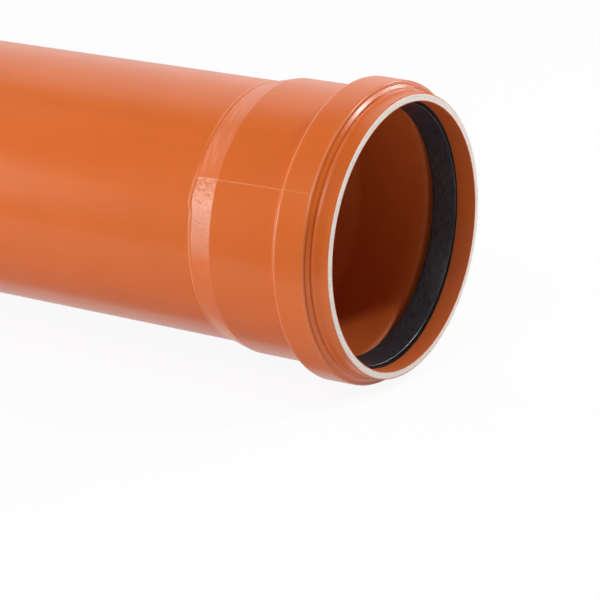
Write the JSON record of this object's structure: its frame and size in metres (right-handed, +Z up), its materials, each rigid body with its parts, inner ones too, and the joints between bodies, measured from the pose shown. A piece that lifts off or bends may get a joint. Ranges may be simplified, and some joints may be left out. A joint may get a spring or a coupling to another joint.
{
  "type": "pvc sewer pipe",
  "caption": "Socketed PVC sewer pipe lying on its side: plain barrel with a bevelled spigot end, and a flared socket whose bead holds a rubber lip seal.",
  "frame": {"origin": "centre of the spigot end face, on the pipe axis, so the next pipe's origin lies one laying length (1.000 m) along +X, at the bottom of the socket", "axes": "+X along the pipe from the spigot end towards the socket mouth, +Z up, +Y to the left when looking along +X"},
  "size_m": [1.083, 0.1832, 0.1832],
  "materials": {
    "pvc": "smooth orange-brown extruded PVC, satin gloss, pale core on the sawn rim",
    "seal_rubber": "black moulded rubber, satin"
  },
  "bodies": {
    "root": {"pipe": "pvc", "seal_ring": "seal_rubber"}
  },
  "joints": []
}
